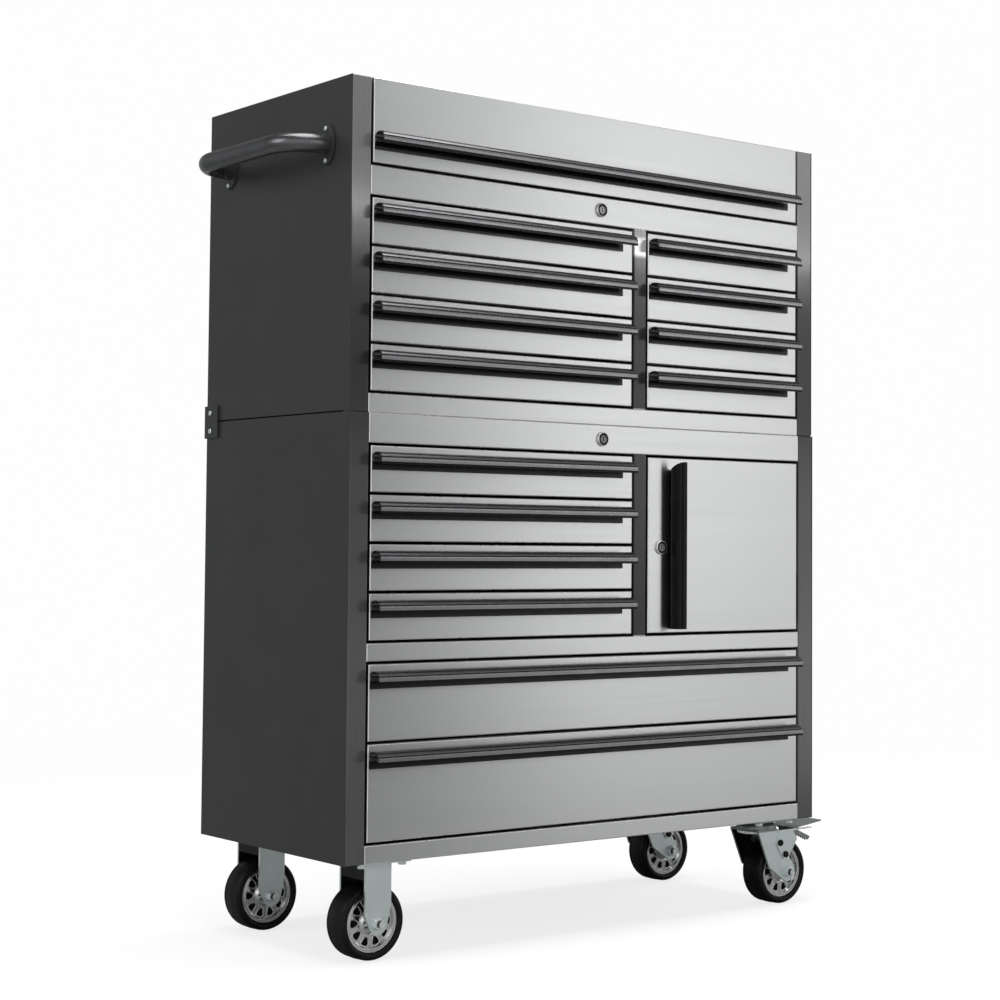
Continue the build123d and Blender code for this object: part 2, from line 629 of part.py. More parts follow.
def swivel_plates():
    """Fixed top plate and upper race of each swivel caster, with the kingpin."""
    pieces = []
    top = UNDER - PLATE_T
    for y in CASTER_Y:
        pieces.append(
            block(SWIVEL_X - PLATE_X / 2, SWIVEL_X + PLATE_X / 2, y - PLATE_Y / 2, y + PLATE_Y / 2, top, UNDER)
        )
        race = rod((SWIVEL_X, y, top), (0, 0, -1), 6.5, 31)
        race = fillet(race.faces().sort_by(Axis.Z)[0].edges(), 3)
        pieces.append(race + rod((SWIVEL_X, y, top - 6), (0, 0, -1), 14, 6))
    return pieces


def swivel_fork(y):
    """Lower race, crown, raked legs, brake cheeks with rivets, and the axle."""
    wheel_x = SWIVEL_X + TRAIL
    race_top = UNDER - PLATE_T - 6.5 - RUN_GAP
    crown_top = UNDER - CROWN_DROP
    pieces = []
    race = rod((SWIVEL_X, y, race_top), (0, 0, -1), race_top - crown_top, RACE_R)
    race = fillet(race.faces().sort_by(Axis.Z)[-1].edges(), 6)
    crown = block(SWIVEL_X - 31, SWIVEL_X + 20, y - FORK_HALF, y + FORK_HALF, crown_top - FORK_T, crown_top)
    bore = rod((SWIVEL_X, y, crown_top - 10), (0, 0, 1), 20, 6 + AXLE_FIT)
    pieces += [race - bore, crown - bore]
    top = -CROWN_DROP - FORK_T
    outline = [(-31, top), (20, top), (-2, -91)]
    cheek = [(20, -26), (58, -25), (70, -41), (57, -60)]
    for side in (-1, 1):
        ends = sorted((y + side * FORK_HALF, y + side * (FORK_HALF - FORK_T)))
        pieces.append(fork_leg(outline, SWIVEL_X, wheel_x, ends[0], ends[1]))
        shape = Polygon(*[(SWIVEL_X + a, UNDER + b) for a, b in cheek], align=None).edges()
        for a, b in (PEDAL_PIVOT, (38.0, -68.5)):
            shape += (Pos(SWIVEL_X + a, UNDER + b) * Circle(9)).edges()
        outer = y + side * FORK_HALF
        ends = sorted((outer, outer + side * 2.5))
        pieces.append(plate_xz(make_hull(shape), ends[0], ends[1]))
        for a, b in (PEDAL_PIVOT, (38.0, -68.5)):
            rivet = rod((SWIVEL_X + a, outer + side * 2.5, UNDER + b), (0, side, 0), 3.5, 6)
            face = rivet.faces().sort_by_distance((SWIVEL_X + a, outer + side * 9, UNDER + b))[0]
            pieces.append(fillet(face.edges(), 1.5))
    return pieces + axle(wheel_x, y)


def brake_pedal(y):
    """Rocking pedal: two arms, a release tab above and a toothed tread below."""
    px, pz = SWIVEL_X + PEDAL_PIVOT[0], UNDER + PEDAL_PIVOT[1]
    pieces = []
    for side in (-1, 1):
        ends = sorted((y + side * 27.5, y + side * 31.5))
        shape = (Pos(px, pz) * Circle(7)).edges()
        shape += Polygon((px + 44, pz + 22), (px + 60, pz + 23), (px + 56, pz + 12), align=None).edges()
        pieces.append(plate_xz(make_hull(shape), ends[0], ends[1]))
    tab = Polygon((69, -24), (PEDAL_TIP, -14.5), (PEDAL_TIP, -12), (69, -21.5), align=None)
    pieces.append(plate_xz(Pos(SWIVEL_X, UNDER) * tab, y - 31.5, y + 31.5))
    slope = math.radians(-23.5)
    tread_y = 21.0
    start = (SWIVEL_X + 82, UNDER - 25)

    def sloped(points):
        turned = []
        for a, b in points:
            turned.append((start[0] + a * math.cos(slope) - b * math.sin(slope),
                           start[1] + a * math.sin(slope) + b * math.cos(slope)))
        return Polygon(*turned, align=None)

    length = 46.0
    pieces.append(plate_xz(sloped([(0, 0), (length, 0), (length, -3), (0, -3)]), y - tread_y, y + tread_y))
    teeth = [(2, -3), (2, -8)]
    count = 6
    for n in range(count):
        base = 4 + n * (length - 9) / count
        teeth += [(base, -8), (base + 2, -11), (base + 4, -8)]
    teeth += [(length - 2, -8), (length, -3)]
    for side in (-1, 1):
        ends = sorted((y + side * tread_y, y + side * (tread_y - 3)))
        pieces.append(plate_xz(sloped(teeth), ends[0], ends[1]))
    pieces.append(block(SWIVEL_X + 78, SWIVEL_X + 82, y - tread_y, y + tread_y, UNDER - 28, UNDER - 22.5))
    return pieces


def tyre(x, y):
    """Solid rubber tyre with round shoulders."""
    seat = SEAT_R + AXLE_FIT
    lip = RIM_R + 0.2
    outline = [
        Polyline((seat, -RIM_HALF + 2), (lip, -RIM_HALF + 2), (lip, -RIM_HALF - 2)),
        ThreePointArc((lip, -RIM_HALF - 2), (58.6, -TYRE_HALF + 1.5), (61.4, -15)),
        ThreePointArc((61.4, -15), (WHEEL_R, 0), (61.4, 15)),
        ThreePointArc((61.4, 15), (58.6, TYRE_HALF - 1.5), (lip, RIM_HALF + 2)),
        Polyline((lip, RIM_HALF + 2), (lip, RIM_HALF - 2), (seat, RIM_HALF - 2), (seat, -RIM_HALF + 2)),
    ]
    ring = revolve(make_face(outline), Axis.Y)
    return Pos(x, y, WHEEL_R) * ring


def wheel_hub(x, y):
    """Cast rim with windows between its spokes, and the bush that runs on the axle."""
    lip = RIM_HALF - 2
    half = [(14, 31), (17, 20), (22, 16), (40, 15), (43, RIM_HALF), (RIM_R, RIM_HALF), (RIM_R, lip), (SEAT_R, lip)]
    barrel = [(8, 31)] + half
    outline = barrel + [(r, -w) for r, w in reversed(barrel)]
    hub = revolve(make_face(Polyline(*outline, close=True)), Axis.Y)
    for n in range(WINDOW_COUNT):
        window = Polygon((24, -3.4), (38, -8.6), (40.5, 0), (38, 8.6), (24, 3.4), align=None)
        window = fillet(window.vertices(), 1.6)
        cut = plate_xz(Rot(0, 0, n * 360 / WINDOW_COUNT) * window, -40, 40)
        hub -= cut
    bush = rod((0, -BARREL_HALF, 0), (0, 1, 0), 2 * BARREL_HALF, 8)
    bush -= rod((0, -BARREL_HALF - 1, 0), (0, 1, 0), 2 * BARREL_HALF + 2, AXLE_R + AXLE_FIT)
    place = Pos(x, y, WHEEL_R)
    return [place * hub, place * bush]


# ------------------------------------------------------------------ nodes
def main():
    os.makedirs("parts", exist_ok=True)
    save("lower_shell", lower_shell())
    save("upper_shell", upper_shell())
    save("front_frame", front_frame())
    save("slide_channels", slide_channels())
    for name, left, right, z0, z1, y in DRAWERS:
        save(f"{name}_box", drawer_box(left, right, z0, z1, y))
        ends = (left + GAP + HANDLE_INSET, right - GAP - HANDLE_OUTSET)
        save(f"{name}_handle", [front_handle(ends[0], ends[1], y, z1 - HANDLE_DROP)])
    save("lid_shell", lid_shell())
    ends = (INNER_LEFT + GAP + HANDLE_INSET, INNER_RIGHT - GAP - HANDLE_OUTSET)
    save("lid_handle", [front_handle(ends[0], ends[1], UPPER_SETBACK, LID_BASE + LID_HANDLE_TOP)])
    save("hinge_leaves", hinge_leaves())
    save("strut_cylinders", strut_cylinders())
    save("strut_rods", strut_rods())
    save("door_panel", door_panel())
    low, high = (UNDER + z for z in DOOR_HANDLE_Z)
    upright = Plane(origin=(DOOR_HANDLE_X, 0, high), x_dir=(0, -1, 0), z_dir=(0, 0, -1))
    save("door_handle", [upright.location * handle_bar(high - low)])
    housings = [lock_housing(*UPPER_LOCK, UPPER_SETBACK), lock_housing(*LOWER_LOCK, 0.0)]
    save("lock_housings", housings)
    save("upper_lock_plug", [lock_plug(*UPPER_LOCK, UPPER_SETBACK)])
    save("lower_lock_plug", [lock_plug(*LOWER_LOCK, 0.0)])
    save("door_lock_plug", [lock_plug(*DOOR_LOCK, 0.0)])
    save("push_handle", push_handle())
    save("joining_brackets", joining_brackets())
    save("fasteners", fasteners())
    save("rigid_caster_brackets", rigid_caster_brackets())
    save("swivel_plates", swivel_plates())
    for end, y in zip(("front", "rear"), CASTER_Y):
        save(f"{end}_swivel_fork", swivel_fork(y))
        save(f"{end}_brake_pedal", brake_pedal(y))
        for side, x in (("left", RIGID_X), ("right", SWIVEL_X + TRAIL)):
            save(f"{end}_{side}_tyre", [tyre(x, y)])
            save(f"{end}_{side}_hub", wheel_hub(x, y))


main()
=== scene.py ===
import math

import bmesh
import bpy
from mathutils import Matrix, Vector


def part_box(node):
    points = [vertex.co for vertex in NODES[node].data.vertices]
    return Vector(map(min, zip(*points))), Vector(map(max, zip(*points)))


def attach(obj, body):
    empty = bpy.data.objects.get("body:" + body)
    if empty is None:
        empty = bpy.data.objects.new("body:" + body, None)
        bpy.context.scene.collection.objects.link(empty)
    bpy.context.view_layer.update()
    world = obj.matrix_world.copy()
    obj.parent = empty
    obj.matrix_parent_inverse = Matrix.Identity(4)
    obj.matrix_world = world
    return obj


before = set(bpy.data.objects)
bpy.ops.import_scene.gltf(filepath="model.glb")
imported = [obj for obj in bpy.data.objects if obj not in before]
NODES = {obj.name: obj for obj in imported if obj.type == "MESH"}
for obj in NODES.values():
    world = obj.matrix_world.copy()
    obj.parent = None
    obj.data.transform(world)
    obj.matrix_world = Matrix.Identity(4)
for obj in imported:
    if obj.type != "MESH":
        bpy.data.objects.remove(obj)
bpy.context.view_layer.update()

# Rolling tool chest: finishes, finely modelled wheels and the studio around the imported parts.
# Lengths are in metres, in the frame's own axes: +Z up, fronts facing -Y.

LOW_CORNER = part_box("lower_shell")[0]        # front left bottom corner of the lower cabinet
UNDER = LOW_CORNER.z                         # underside of the cabinet
UPPER_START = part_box("upper_shell")[0].z
HAIR = 0.0001                                # slack when a polygon is told from its neighbours by place

# Fronts, posts and rails
FRONT_DEPTH = 0.018
POST_W = 0.0385
POST_MARGIN = 0.0008                         # keeps a post's polygons apart from those beside it
EDGE_R = 0.0018
FACES_FRONT = -0.99                          # Y of a normal that points forward
FACES_LEVEL = 0.7                            # Z, up or down, of a normal on a level face
FOLD_TURN = (-0.97, -0.1)                    # Y of a normal on a rounded edge
UPPER_SETBACK = 0.003                        # the upper chest's fronts stand behind the lower one's
SLIDE_ZONE = 0.0096                          # the slides' channels, from each side of a drawer
CENTRE_POST = (0.609, 0.640)                 # from the frame's left edge
OPEN_ROWS = ((0.3550, 0.6780), (0.7605, 1.0810))    # heights above the underside with no cross rail
KNUCKLE_ZONE = 0.0040                        # the door's hinge knuckles, from its right end
FLANGE_T = 0.0032                            # flanges of the push handle, on the left side panel

# Casters
FORK_HALF = 0.038                            # outer face of a fork leg from the wheel's middle
FORK_T = 0.004
TRAIL = 0.047                                # wheel behind the swivel axis
AXLE_END_R = 0.0105                          # bolt head and nut
CROWN_DROP = 0.0232                          # lower face of the fork's crown, below the cabinet
CHEEK_FACE = FORK_HALF + 0.0026
RIVETS = ((0.024, 0.046), (0.038, 0.0685))   # behind the swivel axis, below the cabinet
RIVET_R = 0.0075

# Wheel trim: windows as radius and half width, their bead, rings as radius, depth and thickness
WINDOW_COUNT = 10
WINDOW = ((0.024, -0.0034), (0.038, -0.0086), (0.0405, 0.0), (0.038, 0.0086), (0.024, 0.0034))
WINDOW_BEAD = 0.0010
CORNER_CUT = 0.22                            # share of a side that each pass takes off a window's corner
DISH_R, DISH_DEPTH, DISH_SLOPE = 0.022, 0.016, 18
RINGS = ((0.0437, 0.0192, 0.0009), (0.0484, 0.0193, 0.0008), (0.0215, 0.0164, 0.0009))
WEB_R = (0.0225, 0.0425)
WEB_HALF = 0.0105
RING_STEPS, WEB_STEPS = 72, 60

# Toothed ring under a swivel's crown, as radius and drop, and the turned-out edge of a brake cheek
TEETH = 30
TOOTH_H = 0.0016
TOOTH_ROOT = 0.031
TOOTH_RING = ((0.0300, -0.0237), (0.0350, -0.0237), (0.0350, -0.0275), (0.0330, -0.0290), (0.0300, -0.0290))
CHEEK_EDGE = ((0.021, -0.0259), (0.109, -0.0242), (0.111, -0.0232), (0.109, -0.0222), (0.021, -0.0237))
CHEEK_EDGE_Y = (0.0345, 0.0404)
PLATE_EDGE = 0.0004

# Studio
FLOOR_RADIUS = 4.5
CAMERA_FROM_CORNER = Vector((-1.8395, -2.7699, 0.5143))
CAMERA_YAW, CAMERA_PITCH, CAMERA_ROLL = -37.77, 2.84, 0.48      # degrees
CAMERA_LENS = 74.37                                             # millimetres, on a 36 mm sensor
CAMERA_SHIFT = -0.0578

# Light that the object sees, by angle in degrees: around from the front towards +X, then by height.
AROUND = [
    (-180, 0.4), (-110, 0.36), (-60, 0.85), (-10, 1.0), (12, 0.85), (20, 0.03), (33, 0.02), (36.3, 0.25),
    (41, 2.15), (43.5, 1.25), (50, 0.95), (60, 0.9), (80, 0.6), (120, 0.5), (180, 0.4),
]
HEIGHT = [
    (-90, 0.2), (-25, 0.5), (-9, 0.95), (0, 0.95), (8, 1.0), (14, 1.0), (24, 0.6), (40, 0.3),
    (60, 0.2), (90, 0.2),
]
OVERHEAD = [(-90, 0.0), (60, 0.0), (74, 0.4), (84, 1.2), (90, 1.2)]

# Painted reflection on the posts by height, pale and dark bands, with a bright painted highlight band high on
# the centre post; and painted highlight and painted shade bands on a handle by height within its own depth.
POST_PAINTED_LIGHT = [
    (0.16, 0.14), (0.45, 0.14), (0.75, 0.10), (0.95, 0.045), (1.13, 0.045), (1.19, 0.08),
    (1.24, 0.22), (1.45, 0.27),
]
CENTRE_POST_PAINTED_LIGHT = [
    (0.50, 0.03), (0.80, 0.06), (0.95, 0.05), (1.16, 0.06), (1.195, 0.10), (1.208, 0.8),
    (1.226, 0.8), (1.238, 0.25),
]
GRIP_PAINTED_LIGHT = [
    (0.0, 0.030), (0.44, 0.006), (0.46, 0.26), (0.66, 0.20), (0.69, 0.012), (0.73, 0.012),
    (0.75, 0.20), (0.86, 0.10), (0.88, 0.012), (0.91, 0.012), (0.93, 0.14), (1.0, 0.08),
]


# ------------------------------------------------------------------ shader helpers
class Shader:
    """A node material around one Principled shader, with short ways to add nodes."""

    def __init__(self, name, **values):
        self.mat = bpy.data.materials.new(name)
        self.mat.use_nodes = True
        self.tree = self.mat.node_tree
        self.bsdf = self.tree.nodes["Principled BSDF"]
        self.coords = self.tree.nodes.new("ShaderNodeTexCoord").outputs["Object"]
        for socket, value in values.items():
            self.bsdf.inputs[socket.replace("_", " ")].default_value = value

    def node(self, kind, inputs=None, **settings):
        made = self.tree.nodes.new("ShaderNode" + kind)
        for key, value in settings.items():
            setattr(made, key, value)
        for key, value in (inputs or {}).items():
            if isinstance(value, bpy.types.NodeSocket):
                self.tree.links.new(value, made.inputs[key])
            else:
                made.inputs[key].default_value = value
        return made

    def stretch(self, scale):
        """Object coordinates stretched along the axes."""
        return self.node("Mapping", {"Vector": self.coords, "Scale": scale}).outputs[0]

    def noise(self, scale, detail=3.0, stretch=(1, 1, 1), rough=0.55):
        vector = self.stretch(stretch)
        made = self.node("TexNoise", {"Vector": vector, "Scale": scale, "Detail": detail, "Roughness": rough})
        return made.outputs["Fac"]

    def span(self, value, low, high, start=0.3, end=0.7):
        """Maps a 0..1 texture onto a range."""
        inputs = {"Value": value, "From Min": start, "From Max": end, "To Min": low, "To Max": high}
        return self.node("MapRange", inputs).outputs[0]

    def math(self, operation, a, b=0.0):
        return self.node("Math", {0: a, 1: b}, operation=operation).outputs[0]

    def tint(self, factor, dark, light):
        """Mixes two colours by a factor."""
        mix = self.node("Mix", data_type="RGBA")
        self.tree.links.new(factor, mix.inputs[0])
        mix.inputs[6].default_value = (*dark, 1)
        mix.inputs[7].default_value = (*light, 1)
        return mix.outputs[2]

    def set(self, socket, value):
        self.tree.links.new(value, self.bsdf.inputs[socket])

    def bump(self, height, strength, distance):
        made = self.node("Bump", {"Height": height, "Strength": strength, "Distance": distance})
        self.set("Normal", made.outputs[0])

    def grain_direction(self, turned):
        """Anisotropic highlights across the brushing; turned puts the brushing upright."""
        tangent = self.node("Tangent", direction_type="RADIAL", axis="Z")
        self.set("Tangent", tangent.outputs[0])
        self.bsdf.inputs["Anisotropic Rotation"].default_value = 0.0 if turned else 0.25


def brushed_steel(name, along, dark, light, rough, anisotropic=0.9):
    """Brushed stainless: fine scratches, longer streaks and slow clouding along one axis."""
    s = Shader(name, Metallic=1.0, Anisotropic=anisotropic)
    fine = [500.0, 500.0, 500.0]
    streak = [120.0, 120.0, 120.0]
    fine["XYZ".index(along)] = 3.0
    streak["XYZ".index(along)] = 1.1
    scratches = s.noise(1.6, 4, fine, 0.7)
    streaks = s.noise(1.0, 3, streak, 0.6)
    clouds = s.noise(2.2, 2)
    blurred = s.math("ADD", s.math("MULTIPLY", streaks, 0.35), s.math("MULTIPLY", clouds, 0.2))
    mixed = s.math("ADD", s.math("MULTIPLY", scratches, 0.45), blurred)
    s.set("Base Color", s.tint(s.span(mixed, 0, 1, 0.35, 0.65), dark, light))
    s.set("Roughness", s.span(mixed, rough - 0.03, rough + 0.04, 0.35, 0.65))
    s.bump(scratches, 0.05, 0.0001)
    s.grain_direction(along == "Z")
    return s.mat


def dark_post(name, painted_levels, rough):
    """Dark upright posts with a painted reflection by height, paler towards the top, and fine upright
    brushing.
    """
    s = Shader(name, Metallic=0.4, Anisotropic=0.8)
    lines = s.noise(1.4, 4, (420, 420, 3), 0.7)
    height = s.node("SeparateXYZ", {0: s.coords}).outputs["Z"]
    low, high = painted_levels[0][0], painted_levels[-1][0]
    place = s.node("MapRange", {"Value": height, "From Min": low, "From Max": high}).outputs[0]
    ramp = s.node("ValToRGB", {"Fac": place}).color_ramp
    ramp.interpolation = "EASE"
    while len(ramp.elements) < len(painted_levels):
        ramp.elements.new(0.5)
    for element, (z, level) in zip(ramp.elements, painted_levels):
        element.position = (z - low) / (high - low)
        element.color = (level, level * 1.02, level * 0.99, 1)
    shade = s.tree.nodes["Color Ramp"].outputs["Color"]
    grain = s.node("MixRGB", {"Color1": shade, "Color2": (0.5, 0.5, 0.5, 1)}, blend_type="MULTIPLY")
    s.tree.links.new(s.span(lines, 0.0, 0.3), grain.inputs["Fac"])
    s.set("Base Color", grain.outputs[0])
    s.set("Roughness", s.span(lines, rough - 0.03, rough + 0.04))
    s.bump(lines, 0.05, 0.0001)
    s.grain_direction(True)
    return s.mat


def painted_edge_highlight(name, dark, light):
    """Paler metal on the rounded edges of the fronts: a painted highlight for their bright rims."""
    s = Shader(name, Metallic=0.75)
    worn = s.noise(30, 4)
    s.set("Base Color", s.tint(s.span(worn, 0, 1), dark, light))
    s.set("Roughness", s.span(worn, 0.34, 0.24))
    return s.mat


def powder_coat(name, colour, rough=0.42):
    """Dark powder coat with a fine orange-peel skin and slight mottling."""
    s = Shader(name)
    r, g, b = colour
    mottle = s.noise(26, 4)
    dark = (r * 0.95, g * 0.95, b * 0.95)
    light = (r * 1.05, g * 1.05, b * 1.06)
    s.set("Base Color", s.tint(s.span(mottle, 0, 1), dark, light))
    s.set("Roughness", s.span(s.noise(9, 3), rough - 0.05, rough + 0.07))
    s.bump(s.noise(900, 3), 0.16, 0.0004)
    return s.mat


def anodised(name, colour, rough):
    """Dark satin metal with slight clouding in its colour and gloss."""
    s = Shader(name, Metallic=0.85)
    clouds = s.noise(24, 3)
    r, g, b = colour
    dark = (r * 0.9, g * 0.9, b * 0.91)
    light = (r * 1.1, g * 1.1, b * 1.1)
    s.set("Base Color", s.tint(s.span(clouds, 0, 1), dark, light))
    s.set("Roughness", s.span(s.noise(40, 2), rough - 0.04, rough + 0.06))
    s.bump(s.noise(500, 2), 0.03, 0.0002)
    return s.mat


def grip_extrusion(name, bands, rough):
    """Dark hooked extrusion with painted highlight and painted shade in pale and dark bands between its drawn
    grooves, by height in its own box.
    """
    s = Shader(name, Metallic=0.8)
    own = s.node("TexCoord").outputs["Generated"]
    height = s.node("SeparateXYZ", {0: own}).outputs["Z"]
    ramp = s.node("ValToRGB", {"Fac": height})
    elements = ramp.color_ramp.elements
    while len(elements) < len(bands):
        elements.new(0.5)
    for element, (place, level) in zip(elements, bands):
        element.position = place
        element.color = (level, level, level * 1.04, 1)
    lines = s.noise(1.0, 2, (2, 300, 300))
    worn = s.node("MixRGB", {"Color1": ramp.outputs[0], "Color2": (0.7, 0.7, 0.7, 1)}, blend_type="MULTIPLY")
    s.tree.links.new(s.span(lines, 0.0, 0.15), worn.inputs["Fac"])
    s.set("Base Color", worn.outputs[0])
    s.set("Roughness", s.span(s.noise(30, 2), rough - 0.03, rough + 0.04))
    return s.mat


def zinc_plate(name, dark, light, rough=0.36):
    """Satin zinc with soft cloudy variation and fine rolling marks."""
    s = Shader(name, Metallic=0.75)
    clouds = s.noise(38, 4)
    s.set("Base Color", s.tint(s.span(clouds, 0, 1), dark, light))
    s.set("Roughness", s.span(s.noise(60, 3), rough - 0.08, rough + 0.1))
    s.bump(s.noise(700, 2), 0.1, 0.0003)
    return s.mat


def polished(name, colour, rough=0.12):
    """Chrome or a polished casting, with faint smears in its gloss."""
    s = Shader(name, Metallic=1.0)
    r, g, b = colour
    s.set("Base Color", s.tint(s.span(s.noise(50, 3), 0, 1), (r * 0.88, g * 0.88, b * 0.88), colour))
    s.set("Roughness", s.span(s.noise(80, 3), rough - 0.04, rough + 0.07))
    s.bump(s.noise(260, 2), 0.05, 0.0004)
    return s.mat


def rubber(name):
    """Black solid rubber with moulding grain and a dusty bloom in places."""
    s = Shader(name, Specular_IOR_Level=0.25)
    bloom = s.span(s.noise(45, 4), 0, 1)
    s.set("Base Color", s.tint(bloom, (0.0022, 0.0022, 0.0024), (0.006, 0.006, 0.0065)))
    s.set("Roughness", s.span(s.noise(70, 3), 0.36, 0.55))
    s.bump(s.noise(1100, 3), 0.12, 0.0004)
    return s.mat


STEEL_FRONT = brushed_steel("steel_front", "X", (0.585, 0.59, 0.595), (0.62, 0.625, 0.63), 0.31)
STEEL_TOP = brushed_steel("steel_top", "X", (0.50, 0.50, 0.505), (0.54, 0.54, 0.545), 0.34, 0.0)
# steel_post and steel_centre: their colour ramps by height are painted reflection and painted highlight
STEEL_POST = dark_post("steel_post", POST_PAINTED_LIGHT, 0.19)
STEEL_CENTRE = dark_post("steel_centre", CENTRE_POST_PAINTED_LIGHT, 0.19)
# pale_steel_and_painted_highlight: paler metal, a painted highlight on the rounded edges of the fronts and
# the wheel beads; also the sides of the lock housings
PALE_STEEL_AND_PAINTED_HIGHLIGHT = painted_edge_highlight("pale_steel_and_painted_highlight", (0.78, 0.78, 0.78), (0.95, 0.95, 0.95))
CHARCOAL = powder_coat("charcoal_coat", (0.028, 0.028, 0.0292))
# handle_extrusion: its pale and dark bands are painted highlight and painted shade
HANDLE = grip_extrusion("handle_extrusion", GRIP_PAINTED_LIGHT, 0.26)
HANDLE_DARK = anodised("handle_dark", (0.012, 0.012, 0.0125), 0.34)
TUBE = anodised("tube_satin", (0.13, 0.13, 0.135), 0.27)
ZINC = zinc_plate("zinc_plate", (0.72, 0.82, 0.81), (0.80, 0.88, 0.87))
DULL_ZINC = zinc_plate("dull_zinc", (0.26, 0.28, 0.28), (0.36, 0.38, 0.38))
# pale_zinc_and_painted_highlight: pale zinc, and a painted highlight on the cheek flanges and the axle nuts
PALE_ZINC_AND_PAINTED_HIGHLIGHT = zinc_plate("pale_zinc_and_painted_highlight", (0.90, 0.96, 0.96), (0.97, 1.0, 1.0), 0.22)
LOCK_FACE = zinc_plate("lock_face", (0.16, 0.16, 0.16), (0.30, 0.30, 0.30), 0.3)
# black_steel_and_painted_shade: black parts, and painted shade on the insides of the fork legs
BLACK_AND_PAINTED_SHADE = zinc_plate("black_steel_and_painted_shade", (0.006, 0.007, 0.007), (0.012, 0.013, 0.013), 0.4)
CHROME = polished("chrome", (0.80, 0.80, 0.81), 0.10)
RIM = polished("rim_polished", (0.86, 0.86, 0.87), 0.17)
TYRE = rubber("tyre_rubber")


# ------------------------------------------------------------------ finishes on the CAD parts
def finish(node, *materials, choose=None):
    """Gives a CAD node its materials; choose picks one for each polygon from its centre and its normal."""
    mesh = NODES[node].data
    mesh.materials.clear()
    for m in materials:
        mesh.materials.append(m)
    if choose:
        for polygon in mesh.polygons:
            polygon.material_index = choose(polygon.center, polygon.normal)


def on_fold(point, normal, front):
    """Whether a polygon belongs to the rounded edge of a front that stands at a depth."""
    return point.y < front + EDGE_R and FOLD_TURN[0] < normal.y < FOLD_TURN[1]


def finish_drawer(name):
    low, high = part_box(name + "_box")
    skin = low.y + FRONT_DEPTH + HAIR

    def choose(point, normal):
        # rounded edge of the front: painted highlight
        if on_fold(point, normal, low.y):
            return 3
        if point.y <= skin:
            return 0
        return 1 if low.x + SLIDE_ZONE < point.x < high.x - SLIDE_ZONE else 2

    finish(name + "_box", STEEL_FRONT, CHARCOAL, ZINC, PALE_STEEL_AND_PAINTED_HIGHLIGHT, choose=choose)
    finish(name + "_handle", HANDLE)


def finish_front(node, front, knuckles=None):
    """A brushed panel with a painted highlight on its rounded edges; a lock may stand out of it, and dark
    knuckles at its side.
    """

    def choose(point, normal):
        if knuckles and point.x > knuckles:
            return 2
        if point.y < front - HAIR:
            return 2 if normal.y < FACES_FRONT else 1
        if abs(normal.z) > FACES_LEVEL:
            return 3
        return int(on_fold(point, normal, front))

    finish(node, STEEL_FRONT, PALE_STEEL_AND_PAINTED_HIGHLIGHT, BLACK_AND_PAINTED_SHADE, STEEL_TOP, choose=choose)


def finish_frame():
    low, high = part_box("front_frame")
    within = POST_W - POST_MARGIN

    def choose(point, normal):
        if point.x < low.x + within or point.x > high.x - within:
            return 1
        if CENTRE_POST[0] < point.x - low.x < CENTRE_POST[1] and not on_rail(point.z):
            return 3
        front = low.y if point.z < UPPER_START else low.y + UPPER_SETBACK
        return 2 if on_fold(point, normal, front) else 0

    finish("front_frame", STEEL_FRONT, STEEL_POST, PALE_STEEL_AND_PAINTED_HIGHLIGHT, STEEL_CENTRE, choose=choose)


def on_rail(z):
    """Whether a height lies on one of the cross rails rather than between them."""
    return not any(low < z - UNDER < high for low, high in OPEN_ROWS)


def finish_parts():
    drawers = sorted(n[:-4] for n in NODES if n.endswith("_box"))
    for name in drawers:
        finish_drawer(name)
    finish_frame()
    for node in ("lower_shell", "upper_shell", "joining_brackets"):
        finish(node, CHARCOAL)
    for node in ("slide_channels", "fasteners"):
        finish(node, ZINC)
    finish("hinge_leaves", ZINC, BLACK_AND_PAINTED_SHADE, choose=lambda point, normal: int(point.z < UPPER_START))
    finish("swivel_plates", DULL_ZINC)
    finish("strut_cylinders", HANDLE_DARK)
    finish("strut_rods", CHROME)
    finish("push_handle", TUBE, CHARCOAL, choose=lambda point, normal: int(point.x > LOW_CORNER.x - FLANGE_T))
    finish("lock_housings", PALE_STEEL_AND_PAINTED_HIGHLIGHT, BLACK_AND_PAINTED_SHADE, choose=lambda point, normal: int(normal.y < FACES_FRONT))
    for node in ("upper_lock_plug", "lower_lock_plug", "door_lock_plug"):
        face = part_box(node)[0].y + HAIR
        finish(node, BLACK_AND_PAINTED_SHADE, LOCK_FACE, choose=lambda point, normal, face=face: int(point.y < face))
    finish_front("lid_shell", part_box("lid_shell")[0].y)
    finish("lid_handle", HANDLE)
    finish_front("door_panel", LOW_CORNER.y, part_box("door_panel")[1].x - KNUCKLE_ZONE)
    finish("door_handle", HANDLE_DARK)
    finish_brackets()
    for end in ("front", "rear"):
        finish_fork(end)
        finish(f"{end}_brake_pedal", DULL_ZINC)
        for side in ("left", "right"):
            finish(f"{end}_{side}_tyre", TYRE)
            finish(f"{end}_{side}_hub", RIM)


# ------------------------------------------------------------------ casters
def wheel_centre(end, side):
    low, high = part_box(f"{end}_{side}_tyre")
    return (low + high) / 2


def leg_finish(point, normal, centre):
    """0 for plain plate, 1 for painted shade on the inside of a leg, 2 for the axle bolt and its nut in pale
    zinc, partly a painted highlight.
    """
    depth = abs(point.y - centre.y)
    if math.hypot(point.x - centre.x, point.z - centre.z) < AXLE_END_R and depth > FORK_HALF + HAIR:
        return 2
    facing_wheel = normal.y * (centre.y - point.y) > 0.0
    inside = depth < FORK_HALF - FORK_T + HAIR
    # inward faces of a leg: painted shade
    return 1 if inside and (facing_wheel or abs(normal.y) < 0.5) else 0


